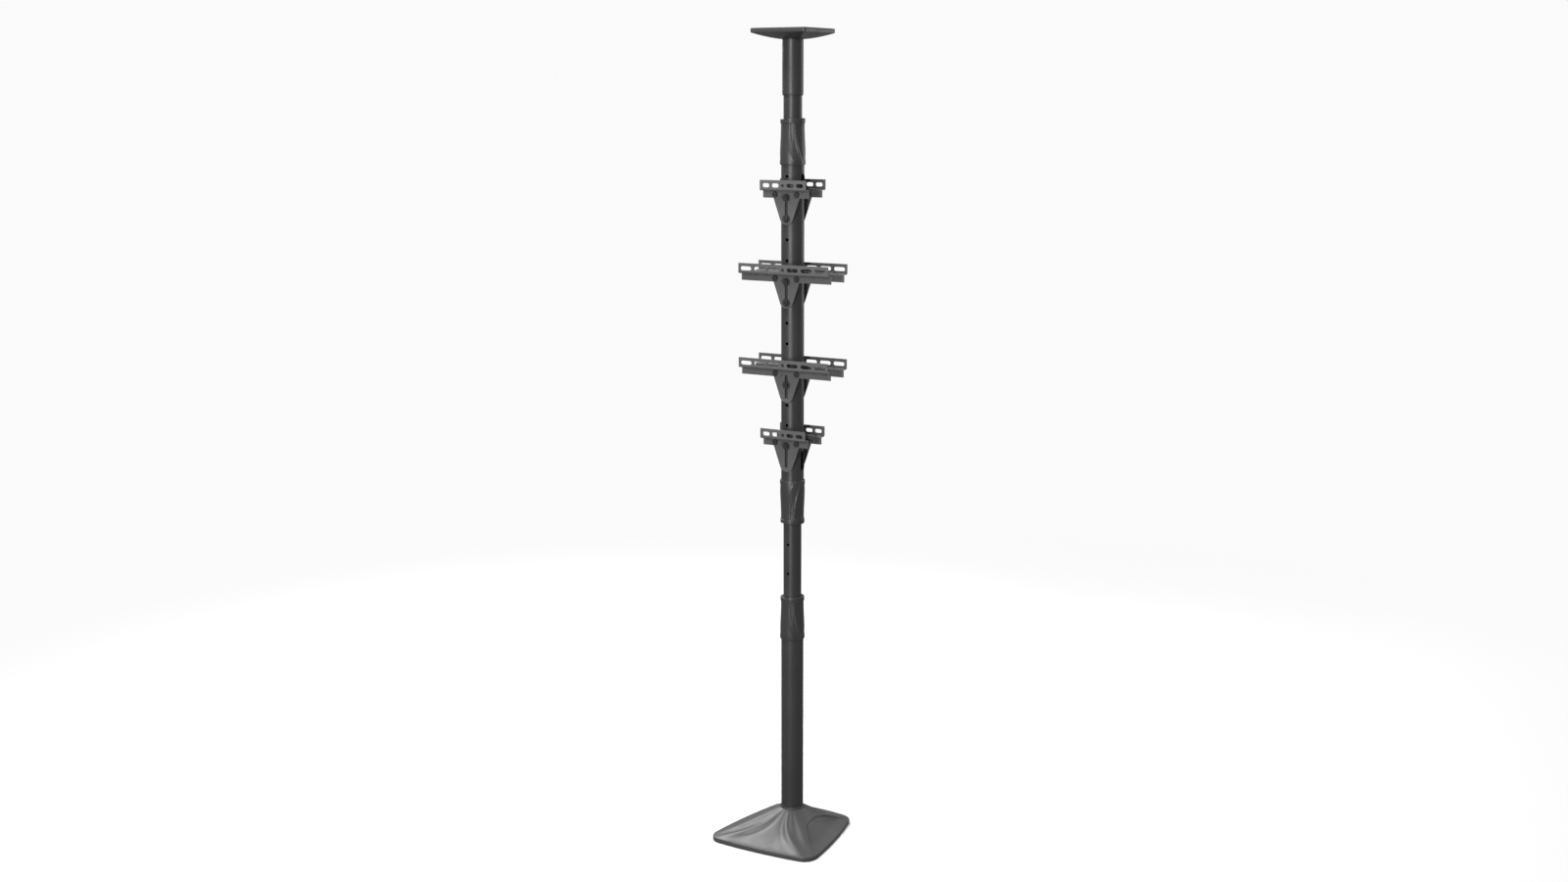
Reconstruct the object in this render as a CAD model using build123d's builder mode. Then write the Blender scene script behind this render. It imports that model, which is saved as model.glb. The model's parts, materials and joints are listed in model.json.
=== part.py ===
from build123d import *
import math
import os

# A telescopic floor-to-ceiling post for electric vehicle chargers.
# The origin is on the floor at the tubes' axis. +Z is up, -Y is the front, +X is the cable side.

os.makedirs("parts", exist_ok=True)

# ---- Round tubes: outside diameter, wall and length ----
main_d = 60.0
main_wall = 2.0
inner_d = 48.0
inner_wall = 2.0
ceiling_tube_d = 54.5
ceiling_tube_wall = 2.0
lower_tube_len = 589.0
riser_len = 905.0
column_len = 926.0
mast_len = 298.0
ceiling_tube_len = 156.0

# ---- How far each inner tube stands in the tube round it ----
riser_in_column = 67.0
mast_in_column = 62.0
mast_in_ceiling_tube = 107.0

# ---- Clearances ----
slide_gap = 0.3
fit_gap = 0.05
cover_gap = 2.0

# ---- Floor base: half widths at the front and rear corners, and how far each edge bows out ----
base_front_half = 160.0
base_rear_half = 112.0
base_front = 180.0
base_rear = 132.0
base_front_bow = 10.0
base_rear_bow = 14.0
base_side_bow = 9.0
base_corner_r = 38.0
pad_t = 2.0
base_plate_t = 6.0
base_plate_corner_r = 30.0
base_cover_wall = 3.0
base_rim_z = 13.0
base_floor_gap = 0.5
base_neck_z = 70.0
base_neck_lip = 2.0
base_flare_power = 1.35
base_flare_points = 48
base_bolt_x = 170.0
base_bolt_y = 200.0
base_bolt_shift = -20.0
anchor_hole_d = 10.0
spigot_wall = 3.0
spigot_len = 87.0
spigot_screw_z = 40.0
neck_ring_wall = 2.6
neck_ring_top = 73.0
neck_ring_h = 16.0

# ---- Collars over the telescopic joints, measured from the wide end to the rim ----
collar_len = 118.0
collar_overlap = 50.0
collar_end_wall = 2.4
collar_bulge = 3.5
collar_bulge_at = 18.0
collar_shoulder = 2.6
collar_shoulder_at = 36.0
collar_slope = 1.2
collar_slope_at = 60.0
collar_waist = 0.5
collar_waist_at = 90.0
collar_rim = 2.0
collar_rim_h = 12.0
collar_rim_lip = 6.0
collar_cavity_wall = 2.6
collar_seam_deg = 22.0

# ---- Guide bushes and lock screws ----
bush_len = 40.0
bush_flange_t = 4.0
bush_flange_rim = 1.2
foot_bush_len = 40.0
lock_screw_d = 6.0
lock_screw_back = 28.0

# ---- Holes in the riser and the column ----
stop_hole_d = 8.0
stop_hole_pitch = 80.0
stop_hole_count = 10
stop_hole_top = 111.0
bolt_hole_d = 9.0
bolt_pitch = 54.0
bolt_hole_count = 14
bolt_hole_drop = 79.0
cable_hole_len = 55.0
cable_hole_w = 20.0
cable_hole_drop = 99.0
cable_hole_rise = 103.0
grommet_wall = 1.6
grommet_depth = 6.0

# ---- Bracket plates: distances are from the slot's top end centre ----
plate_t = 3.0
slot_w = 9.0
ear_half = 34.0
ear_r = 7.0
screw_half = 32.0
screw_rise = 8.0
screw_d = 6.0
tip_r = 20.0
tip_rise = 4.6

# ---- Bracket rails: a Z-shaped strip with slots for a charger's screws and a row of recesses ----
rail_t = 3.0
rail_low = -1.0
rail_shelf = 18.0
rail_top = 45.0
rail_step = 17.0
rail_bend_r = 1.5
rail_slot_h = 10.5
rail_centre_hole_d = 9.0
notch_r = 14.0
row_pitch = 34.0
row_recess_len = 13.0
row_recess_h = 5.0
row_recess_rise = 15.0
row_recess_depth = 1.5
short_rail = {"length": 135.0, "slot": 21.0, "first": 22.0, "pitch": 27.5, "slots": 2, "row": 4}
long_rail = {"length": 266.0, "slot": 33.0, "first": 28.5, "pitch": 41.0, "slots": 3, "row": 8}

# ---- The four bracket levels: column holes that hold the bolts, and the slot's rise over the first ----
levels = [
    {"name": "bracket_1", "holes": (1, 2), "rise": 0.0, "rail": short_rail},
    {"name": "bracket_2", "holes": (5, 6), "rise": 0.0, "rail": long_rail},
    {"name": "bracket_3", "holes": (10,), "rise": 22.0, "rail": long_rail},
    {"name": "bracket_4", "holes": (13,), "rise": 0.0, "rail": short_rail},
]

# ---- Fasteners ----
bolt_d = 8.0
bolt_head_d = 14.0
bolt_head_h = 4.6
bolt_key = 5.0
bolt_end = 8.5
washer_d = 22.0
washer_t = 1.6
nut_w = 13.0
nut_t = 6.5
screw_head_d = 17.0
screw_head_h = 3.6
screw_key = 4.0
screw_nut_w = 10.0
screw_nut_t = 5.0
key_depth = 2.2
head_round = 1.2

# ---- Ceiling plate and its cover ----
ceiling_cover_w = 160.0
ceiling_cover_corner_r = 5.0
ceiling_cover_wall = 3.0
ceiling_rim_h = 11.5
ceiling_face_gap = 0.5
ceiling_flare_h = 15.0
ceiling_flare_end = 62.0
ceiling_plate_t = 6.0
ceiling_bolt_pitch = 110.0

# ---- Worked-out radii and heights ----
main_r = main_d / 2
main_bore_r = main_r - main_wall
inner_r = inner_d / 2
ceiling_tube_r = ceiling_tube_d / 2
ceiling_bore_r = ceiling_tube_r - ceiling_tube_wall
guide_r = inner_r + slide_gap
lower_tube_z0 = pad_t + base_plate_t
lower_tube_z1 = lower_tube_z0 + lower_tube_len
riser_z0 = lower_tube_z0 + spigot_len
riser_z1 = riser_z0 + riser_len
column_z0 = riser_z1 - riser_in_column
column_z1 = column_z0 + column_len
mast_z0 = column_z1 - mast_in_column
mast_z1 = mast_z0 + mast_len
ceiling_tube_z0 = mast_z1 - mast_in_ceiling_tube
ceiling_tube_z1 = ceiling_tube_z0 + ceiling_tube_len
post_top = ceiling_tube_z1 + ceiling_plate_t + pad_t
slot_travel = bolt_pitch
plate_stand = main_r + slide_gap
seat_stand = plate_stand + plate_t + slide_gap


def bolt_hole_z(index):
    """Height of one of the column's bolt holes, counted from the top."""
    return column_z1 - bolt_hole_drop - index * bolt_pitch


def slot_top_z(level):
    """Height of the centre of the slot's top end of a bracket."""
    return bolt_hole_z(level["holes"][0]) + level["rise"]


def tube(outer_r, bore_r, z0, z1):
    """A plain round tube between two heights, inside a BuildPart block."""
    with BuildSketch(Plane.XY.offset(z0)) as ring:
        Circle(outer_r)
        Circle(bore_r, mode=Mode.SUBTRACT)
    extrude(ring.sketch, amount=z1 - z0)


def radial_plane(angle, distance, height):
    """A plane that faces outwards from the axis; its x runs round the post and its y runs up."""
    outward = Vector(math.cos(math.radians(angle)), math.sin(math.radians(angle)), 0)
    origin = outward * distance + Vector(0, 0, height)
    return Plane(origin=origin, x_dir=Vector(0, 0, 1).cross(outward), z_dir=outward)


# ================= Floor base =================


def base_outline(inset, corner_r):
    """The base's plan: four bowed edges with rounded corners, drawn in by inset."""
    front_right = (base_front_half, -base_front)
    rear_right = (base_rear_half, base_rear)
    front_left = (-base_front_half, -base_front)
    rear_left = (-base_rear_half, base_rear)
    edge_x = (base_front_half + base_rear_half) / 2 + base_side_bow
    edge_y = (base_rear - base_front) / 2
    with BuildSketch() as plan:
        with BuildLine():
            ThreePointArc(front_left, (0, -base_front - base_front_bow), front_right)
            ThreePointArc(front_right, (edge_x, edge_y), rear_right)
            ThreePointArc(rear_right, (0, base_rear + base_rear_bow), rear_left)
            ThreePointArc(rear_left, (-edge_x, edge_y), front_left)
        make_face()
        offset(amount=-inset, kind=Kind.INTERSECTION)
        fillet(plan.vertices(), corner_r)
    return plan.sketch


def flare_section(rim_points, neck_r, share, height):
    """One level of the cover's flare: the rim's plan drawn in towards the neck by share, 0 to 1."""
    points = []
    for point in rim_points:
        neck = point.normalized() * neck_r
        points.append(point + (neck - point) * share)
    with BuildSketch(Plane.XY.offset(height)) as section:
        with BuildLine():
            Spline(*points, periodic=True)
        make_face()
    return section.sketch


def cover_form(inset, drop, mode):
    """The cover's upright skirt and its flare up to the neck, for the outside or the hollow."""
    rim = base_outline(inset, base_corner_r - inset).wire()
    rim_points = [rim.position_at(index / base_flare_points) for index in range(base_flare_points)]
    neck_r = main_r + neck_ring_wall + base_neck_lip + fit_gap - inset / 2
    rim_z = base_rim_z - drop
    rise = base_neck_z - base_rim_z
    sections = []
    for share in (0.0, 0.25, 0.5, 0.75, 1.0):
        sections.append(flare_section(rim_points, neck_r, share, rim_z + rise * share**base_flare_power))
    skirt = flare_section(rim_points, neck_r, 0.0, base_floor_gap)
    extrude(skirt, amount=rim_z - base_floor_gap, mode=mode)
    loft(sections=sections, mode=mode)


def drilled_base_plan():
    """The plan of the plate and pad under the cover, with the four holes for floor anchors."""
    with BuildSketch() as plan:
        add(base_outline(base_cover_wall + cover_gap, base_plate_corner_r))
        with Locations((0, base_bolt_shift)):
            with GridLocations(base_bolt_x, base_bolt_y, 2, 2):
                Circle(anchor_hole_d / 2, mode=Mode.SUBTRACT)
    return plan.sketch


def make_base():
    with BuildPart() as base_pad:
        extrude(drilled_base_plan(), amount=pad_t)
    base_pad.part.label = "base_pad"
    export_step(base_pad.part, "parts/base_pad.step")

    with BuildPart() as base_plate:
        with BuildSketch(Plane.XY.offset(pad_t)):
            add(drilled_base_plan())
        extrude(amount=base_plate_t)
    base_plate.part.label = "base_plate"
    export_step(base_plate.part, "parts/base_plate.step")

    with BuildPart() as base_cover:
        cover_form(0, 0, Mode.ADD)
        cover_form(base_cover_wall, base_cover_wall, Mode.SUBTRACT)
        with BuildSketch():
            Circle(main_r + neck_ring_wall + fit_gap)
        extrude(amount=base_neck_z + base_cover_wall, mode=Mode.SUBTRACT)
    base_cover.part.label = "base_cover"
    export_step(base_cover.part, "parts/base_cover.step")

    with BuildPart() as neck_ring:
        tube(main_r + neck_ring_wall, main_r + fit_gap, neck_ring_top - neck_ring_h, neck_ring_top)
        chamfer(neck_ring.edges().group_by(Axis.Z)[-1].sort_by(SortBy.RADIUS)[-1], neck_ring_wall / 2)
    neck_ring.part.label = "neck_ring"
    export_step(neck_ring.part, "parts/neck_ring.step")

    with BuildPart() as base_spigot:
        spigot_r = main_bore_r - slide_gap
        tube(spigot_r, spigot_r - spigot_wall, lower_tube_z0, lower_tube_z0 + spigot_len)
    base_spigot.part.label = "base_spigot"
    export_step(base_spigot.part, "parts/base_spigot.step")

    with BuildPart() as spigot_screws:
        for angle in (0, 180):
            with BuildSketch(radial_plane(angle, main_bore_r - slide_gap, spigot_screw_z)):
                Circle(lock_screw_d / 2)
            extrude(amount=main_wall + slide_gap)
    spigot_screws.part.label = "spigot_screws"
    export_step(spigot_screws.part, "parts/spigot_screws.step")

    with BuildPart() as lower_tube:
        tube(main_r, main_bore_r, lower_tube_z0, lower_tube_z1)
        for angle in (0, 180):
            with BuildSketch(radial_plane(angle, main_bore_r - main_wall, spigot_screw_z)):
                Circle(lock_screw_d / 2)
            extrude(amount=3 * main_wall, mode=Mode.SUBTRACT)
        with BuildSketch(radial_plane(90, main_bore_r - main_wall, lower_tube_z1 - lock_screw_back)):
            Circle(lock_screw_d / 2)
        extrude(amount=3 * main_wall, mode=Mode.SUBTRACT)
    lower_tube.part.label = "lower_tube"
    export_step(lower_tube.part, "parts/lower_tube.step")


# ================= Joints between the tubes =================


def make_collar(name, tube_end, upward):
    """A collar in two shells. Its wide end grips the main tube and its rim runs round the inner tube."""
    turn = 1 if upward else -1
    wide_z = tube_end - turn * collar_overlap
    for half, angle in (("right", collar_seam_deg - 90), ("left", collar_seam_deg + 90)):
        outward = Vector(math.cos(math.radians(angle)), math.sin(math.radians(angle)), 0)
        section_plane = Plane(
            origin=(0, 0, wide_z), x_dir=outward, z_dir=outward.cross(Vector(0, 0, turn))
        )
        cavity_r = main_r + collar_waist - collar_cavity_wall
        flange_r = main_bore_r + bush_flange_rim + slide_gap
        cavity_start = collar_overlap + bush_flange_t + slide_gap
        with BuildPart() as shell:
            with BuildSketch(section_plane):
                with BuildLine():
                    outside = Spline(
                        (main_r + collar_end_wall, 0),
                        (main_r + collar_bulge, collar_bulge_at),
                        (main_r + collar_shoulder, collar_shoulder_at),
                        (main_r + collar_slope, collar_slope_at),
                        (main_r + collar_waist, collar_waist_at),
                        (main_r + collar_waist, collar_len - collar_rim_h),
                    )
                    Polyline(
                        outside @ 1,
                        (main_r + collar_rim, collar_len - collar_rim_h),
                        (main_r + collar_rim, collar_len),
                        (inner_r + slide_gap, collar_len),
                        (inner_r + slide_gap, collar_len - collar_rim_lip),
                        (cavity_r, collar_len - collar_rim_lip),
                        (cavity_r, cavity_start),
                        (flange_r, cavity_start),
                        (flange_r, collar_overlap),
                        (main_r + fit_gap, collar_overlap),
                        (main_r + fit_gap, 0),
                        outside @ 0,
                    )
                make_face()
            revolve(axis=Axis.Z, revolution_arc=turn * 180)
        shell.part.label = f"{name}_{half}"
        export_step(shell.part, f"parts/{shell.part.label}.step")


def make_bush(name, tube_end, upward, bore_r, screw_back):
    """A plastic guide bush in the mouth of an outer tube, with a flange over the tube's end."""
    turn = 1 if upward else -1
    with BuildPart() as bush:
        with BuildSketch(Plane.XY.offset(tube_end)):
            Circle(bore_r - fit_gap)
            Circle(guide_r, mode=Mode.SUBTRACT)
        extrude(amount=-turn * bush_len)
        with BuildSketch(Plane.XY.offset(tube_end)):
            Circle(bore_r + bush_flange_rim)
            Circle(guide_r, mode=Mode.SUBTRACT)
        extrude(amount=turn * bush_flange_t)
        with BuildSketch(radial_plane(90, guide_r - slide_gap, tube_end - turn * screw_back)):
            Circle(lock_screw_d / 2)
        extrude(amount=main_r - guide_r, mode=Mode.SUBTRACT)
    bush.part.label = name
    export_step(bush.part, f"parts/{name}.step")


def make_lock_screws(name, outer_r, heights):
    """Grub screws behind the post, through the outer tube and its bush, that clamp the inner tube."""
    with BuildPart() as screws:
        for height in heights:
            with BuildSketch(radial_plane(90, guide_r, height)):
                Circle(lock_screw_d / 2)
            extrude(amount=outer_r - slide_gap - guide_r)
            with BuildSketch(radial_plane(90, outer_r - slide_gap, height)):
                RegularPolygon(lock_screw_d / 4, 6)
            extrude(amount=-key_depth, mode=Mode.SUBTRACT)
    screws.part.label = name
    export_step(screws.part, f"parts/{name}.step")


def make_joints():
    make_collar("lower_collar", lower_tube_z1, True)
    make_collar("middle_collar", column_z0, False)
    make_collar("top_collar", column_z1, True)
    make_bush("lower_bush", lower_tube_z1, True, main_bore_r, lock_screw_back)
    make_bush("middle_bush", column_z0, False, main_bore_r, lock_screw_back)
    make_bush("top_bush", column_z1, True, main_bore_r, lock_screw_back)
    make_bush("ceiling_bush", ceiling_tube_z0, False, ceiling_bore_r, lock_screw_back / 2)
    make_lock_screws("lower_lock_screw", main_r, [lower_tube_z1 - lock_screw_back])
    column_heights = [column_z0 + lock_screw_back, column_z1 - lock_screw_back]
    make_lock_screws("column_lock_screws", main_r, column_heights)
    make_lock_screws("ceiling_lock_screw", ceiling_tube_r, [ceiling_tube_z0 + lock_screw_back / 2])


# ================= Riser, column and mast =================


def make_riser():
    with BuildPart() as riser_tube:
        tube(inner_r, inner_r - inner_wall, riser_z0, riser_z1)
        with BuildSketch(Plane.XZ):
            for index in range(stop_hole_count):
                with Locations((0, riser_z1 - stop_hole_top - index * stop_hole_pitch)):
                    Circle(stop_hole_d / 2)
        extrude(amount=inner_d, mode=Mode.SUBTRACT)
    riser_tube.part.label = "riser_tube"
    export_step(riser_tube.part, "parts/riser_tube.step")

    with BuildPart() as riser_foot_bush:
        tube(main_bore_r - slide_gap, inner_r + fit_gap, riser_z0, riser_z0 + foot_bush_len)
    riser_foot_bush.part.label = "riser_foot_bush"
    export_step(riser_foot_bush.part, "parts/riser_foot_bush.step")


def cable_hole_heights():
    """Heights of the middles of the two cable openings."""
    return column_z1 - cable_hole_drop, column_z0 + cable_hole_rise


def make_column():
    with BuildPart() as column_tube:
        tube(main_r, main_bore_r, column_z0, column_z1)
        with BuildSketch(Plane.XZ):
            for index in range(bolt_hole_count):
                with Locations((0, bolt_hole_z(index))):
                    Circle(bolt_hole_d / 2)
        extrude(amount=main_d, both=True, mode=Mode.SUBTRACT)
        for height in cable_hole_heights():
            with BuildSketch(radial_plane(0, main_r / 2, height)):
                SlotOverall(cable_hole_len, cable_hole_w, rotation=90)
            extrude(amount=main_r, mode=Mode.SUBTRACT)
        for height in (column_z0 + lock_screw_back, column_z1 - lock_screw_back):
            with BuildSketch(radial_plane(90, main_bore_r - main_wall, height)):
                Circle(lock_screw_d / 2)
            extrude(amount=3 * main_wall, mode=Mode.SUBTRACT)
    column_tube.part.label = "column_tube"
    export_step(column_tube.part, "parts/column_tube.step")

    with BuildPart() as cable_grommets:
        lip_len = cable_hole_len - 2 * fit_gap
        lip_w = cable_hole_w - 2 * fit_gap
        for height in cable_hole_heights():
            with BuildSketch(radial_plane(0, main_r + fit_gap - grommet_depth, height)):
                SlotOverall(lip_len, lip_w, rotation=90)
                bore = (lip_len - 2 * grommet_wall, lip_w - 2 * grommet_wall)
                SlotOverall(*bore, rotation=90, mode=Mode.SUBTRACT)
            extrude(amount=grommet_depth)
    cable_grommets.part.label = "cable_grommets"
    export_step(cable_grommets.part, "parts/cable_grommets.step")

    with BuildPart() as mast_tube:
        tube(inner_r, inner_r - inner_wall, mast_z0, mast_z1)
    mast_tube.part.label = "mast_tube"
    export_step(mast_tube.part, "parts/mast_tube.step")


# ================= Brackets =================


def bracket_plane(side, height):
    """The inner face of a bracket plate: x along the rail, y up, z away from the post."""
    turn = 1 if side == "front" else -1
    return Plane(origin=(0, -turn * plate_stand, height), x_dir=(turn, 0, 0), z_dir=(0, -turn, 0))


def make_bracket_plate(name, plane):
    with BuildPart() as plate:
        with BuildSketch(plane):
            with Locations((-ear_half, screw_rise), (ear_half, screw_rise)):
                Circle(ear_r)
            with Locations((0, tip_rise - slot_travel)):
                Circle(tip_r)
            make_hull()
            with Locations((0, -slot_travel / 2)):
                SlotCenterToCenter(slot_travel, slot_w, rotation=90, mode=Mode.SUBTRACT)
            with Locations((-screw_half, screw_rise), (screw_half, screw_rise)):
                Circle(screw_d / 2 + fit_gap, mode=Mode.SUBTRACT)
        extrude(amount=plate_t)
    plate.part.label = name
    export_step(plate.part, f"parts/{name}.step")


def rail_slot_spots(rail):
    """Where the slots of a rail's upper strip lie along it, either side of its middle."""
    reach = [rail["first"] + index * rail["pitch"] for index in range(rail["slots"])]
    return [-distance for distance in reach] + reach


def make_rail(name, plane, rail):
    section_plane = Plane(origin=plane.origin, x_dir=plane.z_dir, z_dir=-plane.x_dir)
    strip_middle = (rail_shelf + rail_top) / 2
    lower = plate_t + rail_t / 2
    upper = lower + rail_step
    shelf = rail_shelf + rail_t / 2
    with BuildPart() as strip:
        with BuildSketch(section_plane):
            with BuildLine():
                FilletPolyline(
                    (lower, rail_low),
                    (lower, shelf),
                    (upper, shelf),
                    (upper, rail_top),
                    radius=rail_bend_r + rail_t / 2,
                )
            trace(line_width=rail_t)
        extrude(amount=rail["length"] / 2, both=True)
        with BuildSketch(plane.offset(plate_t + rail_step)):
            with Locations(*[(spot, strip_middle) for spot in rail_slot_spots(rail)]):
                SlotOverall(rail["slot"], rail_slot_h)
            with Locations((0, strip_middle)):
                Circle(rail_centre_hole_d / 2)
        extrude(amount=rail_t, mode=Mode.SUBTRACT)
        with BuildSketch(plane.offset(plate_t)):
            Circle(notch_r)
            with Locations((-screw_half, screw_rise), (screw_half, screw_rise)):
                Circle(screw_d / 2 + fit_gap)
        extrude(amount=rail_t, mode=Mode.SUBTRACT)
        with BuildSketch(plane.offset(plate_t + rail_t)):
            with Locations((0, row_recess_rise)):
                with GridLocations(row_pitch, 0, rail["row"], 1):
                    SlotOverall(row_recess_len, row_recess_h)
        extrude(amount=-row_recess_depth, mode=Mode.SUBTRACT)
    strip.part.label = name
    export_step(strip.part, f"parts/{name}.step")


def rail_screws(plane):
    """The two screws that join a rail to its plate, with their nuts, inside a BuildPart block."""
    seat = plane.offset(plate_t + rail_t)
    spots = [(-screw_half, screw_rise), (screw_half, screw_rise)]
    with BuildSketch(seat) as heads:
        with Locations(*spots):
            Circle(screw_head_d / 2)
    taper = math.degrees(math.atan(head_round / screw_head_h))
    extrude(heads.sketch, amount=screw_head_h, taper=taper)
    with BuildSketch(seat.offset(screw_head_h)) as keys:
        with Locations(*spots):
            RegularPolygon(screw_key / 2, 6, major_radius=False)
    extrude(keys.sketch, amount=-key_depth, mode=Mode.SUBTRACT)
    with BuildSketch(seat) as shanks:
        with Locations(*spots):
            Circle(screw_d / 2)
    extrude(shanks.sketch, amount=-(plate_t + rail_t + screw_nut_t))
    with BuildSketch(plane) as nuts:
        with Locations(*spots):
            RegularPolygon(screw_nut_w / 2, 6, major_radius=False)
    extrude(nuts.sketch, amount=-screw_nut_t)


def make_brackets():
    for level in levels:
        for side in ("front", "rear"):
            plane = bracket_plane(side, slot_top_z(level))
            make_bracket_plate(f"{level['name']}_{side}_plate", plane)
            make_rail(f"{level['name']}_{side}_rail", plane, level["rail"])
    for level in levels[:2]:
        with BuildPart() as fixed_screws:
            for side in ("front", "rear"):
                rail_screws(bracket_plane(side, slot_top_z(level)))
        fixed_screws.part.label = f"{level['name']}_screws"
        export_step(fixed_screws.part, f"parts/{fixed_screws.part.label}.step")
    for level in levels[2:]:
        for side in ("front", "rear"):
            with BuildPart() as moving_screws:
                rail_screws(bracket_plane(side, slot_top_z(level)))
            moving_screws.part.label = f"{level['name']}_{side}_screws"
            export_step(moving_screws.part, f"parts/{moving_screws.part.label}.step")


def make_bracket_bolts():
    heights = [bolt_hole_z(index) for level in levels for index in level["holes"]]
    front = bracket_plane("front", 0)
    rear = bracket_plane("rear", 0)
    seat_offset = seat_stand - plate_stand
    spots = [(0, height) for height in heights]

    with BuildPart() as bracket_bolts:
        head_seat = front.offset(seat_offset + washer_t)
        with BuildSketch(head_seat):
            with Locations(*spots):
                Circle(bolt_head_d / 2)
        taper = math.degrees(math.atan(head_round / bolt_head_h))
        extrude(amount=bolt_head_h, taper=taper)
        with BuildSketch(head_seat.offset(bolt_head_h)):
            with Locations(*spots):
                RegularPolygon(bolt_key / 2, 6, major_radius=False)
        extrude(amount=-key_depth, mode=Mode.SUBTRACT)
        with BuildSketch(head_seat):
            with Locations(*spots):
                Circle(bolt_d / 2)
        extrude(amount=-(2 * (seat_stand + washer_t) + bolt_end))
    bracket_bolts.part.label = "bracket_bolts"
    export_step(bracket_bolts.part, "parts/bracket_bolts.step")

    with BuildPart() as bracket_washers:
        for face in (front, rear):
            with BuildSketch(face.offset(seat_offset)):
                with Locations(*spots):
                    Circle(washer_d / 2)
                    Circle(bolt_d / 2 + fit_gap, mode=Mode.SUBTRACT)
            extrude(amount=washer_t)
    bracket_washers.part.label = "bracket_washers"
    export_step(bracket_washers.part, "parts/bracket_washers.step")

    with BuildPart() as bracket_nuts:
        with BuildSketch(rear.offset(seat_offset + washer_t)):
            with Locations(*spots):
                RegularPolygon(nut_w / 2, 6, major_radius=False)
                Circle(bolt_d / 2 + fit_gap, mode=Mode.SUBTRACT)
        extrude(amount=nut_t)
    bracket_nuts.part.label = "bracket_nuts"
    export_step(bracket_nuts.part, "parts/bracket_nuts.step")


# ================= Ceiling end =================


def square_frustum(z0, width0, z1, width1, mode):
    """A square solid between two heights with different widths, inside a BuildPart block."""
    with BuildSketch(Plane.XY.offset(z0)) as wide:
        RectangleRounded(width0, width0, ceiling_cover_corner_r)
    with BuildSketch(Plane.XY.offset(z1)) as narrow:
        RectangleRounded(width1, width1, ceiling_cover_corner_r)
    loft(sections=[wide.sketch, narrow.sketch], ruled=True, mode=mode)


def drilled_ceiling_plan():
    """The plan of the plate and pad inside the ceiling cover, with the four holes for anchors."""
    plate_w = ceiling_cover_w - 2 * (ceiling_cover_wall + cover_gap)
    with BuildSketch() as plan:
        RectangleRounded(plate_w, plate_w, ceiling_cover_corner_r)
        with GridLocations(ceiling_bolt_pitch, ceiling_bolt_pitch, 2, 2):
            Circle(anchor_hole_d / 2, mode=Mode.SUBTRACT)
    return plan.sketch


def make_ceiling_end():
    with BuildPart() as ceiling_tube:
        tube(ceiling_tube_r, ceiling_bore_r, ceiling_tube_z0, ceiling_tube_z1)
        screw_z = ceiling_tube_z0 + lock_screw_back / 2
        with BuildSketch(radial_plane(90, ceiling_bore_r - ceiling_tube_wall, screw_z)):
            Circle(lock_screw_d / 2)
        extrude(amount=3 * ceiling_tube_wall, mode=Mode.SUBTRACT)
    ceiling_tube.part.label = "ceiling_tube"
    export_step(ceiling_tube.part, "parts/ceiling_tube.step")

    with BuildPart() as ceiling_plate:
        with BuildSketch(Plane.XY.offset(ceiling_tube_z1)):
            add(drilled_ceiling_plan())
        extrude(amount=ceiling_plate_t)
    ceiling_plate.part.label = "ceiling_plate"
    export_step(ceiling_plate.part, "parts/ceiling_plate.step")

    with BuildPart() as ceiling_pad:
        with BuildSketch(Plane.XY.offset(ceiling_tube_z1 + ceiling_plate_t)):
            add(drilled_ceiling_plan())
        extrude(amount=pad_t)
    ceiling_pad.part.label = "ceiling_pad"
    export_step(ceiling_pad.part, "parts/ceiling_pad.step")

    rim_z1 = post_top - ceiling_face_gap
    rim_z0 = rim_z1 - ceiling_rim_h
    hollow_w = ceiling_cover_w - 2 * ceiling_cover_wall
    hollow_end = ceiling_flare_end - 2 * ceiling_cover_wall
    with BuildPart() as ceiling_cover:
        with BuildSketch(Plane.XY.offset(rim_z0)):
            RectangleRounded(ceiling_cover_w, ceiling_cover_w, ceiling_cover_corner_r)
        extrude(amount=ceiling_rim_h)
        square_frustum(rim_z0, ceiling_cover_w, rim_z0 - ceiling_flare_h, ceiling_flare_end, Mode.ADD)
        with BuildSketch(Plane.XY.offset(rim_z0 + ceiling_cover_wall)):
            RectangleRounded(hollow_w, hollow_w, ceiling_cover_corner_r)
        extrude(amount=ceiling_rim_h, mode=Mode.SUBTRACT)
        hollow_z = rim_z0 + ceiling_cover_wall
        square_frustum(hollow_z, hollow_w, hollow_z - ceiling_flare_h, hollow_end, Mode.SUBTRACT)
        with BuildSketch(Plane.XY.offset(rim_z0 - ceiling_flare_h)):
            Circle(ceiling_tube_r + slide_gap)
        extrude(amount=ceiling_flare_h + ceiling_rim_h, mode=Mode.SUBTRACT)
    ceiling_cover.part.label = "ceiling_cover"
    export_step(ceiling_cover.part, "parts/ceiling_cover.step")


make_base()
make_joints()
make_riser()
make_column()
make_brackets()
make_bracket_bolts()
make_ceiling_end()
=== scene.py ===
import json
import math

import bmesh
import bpy
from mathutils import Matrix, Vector
from mathutils.bvhtree import BVHTree

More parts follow.
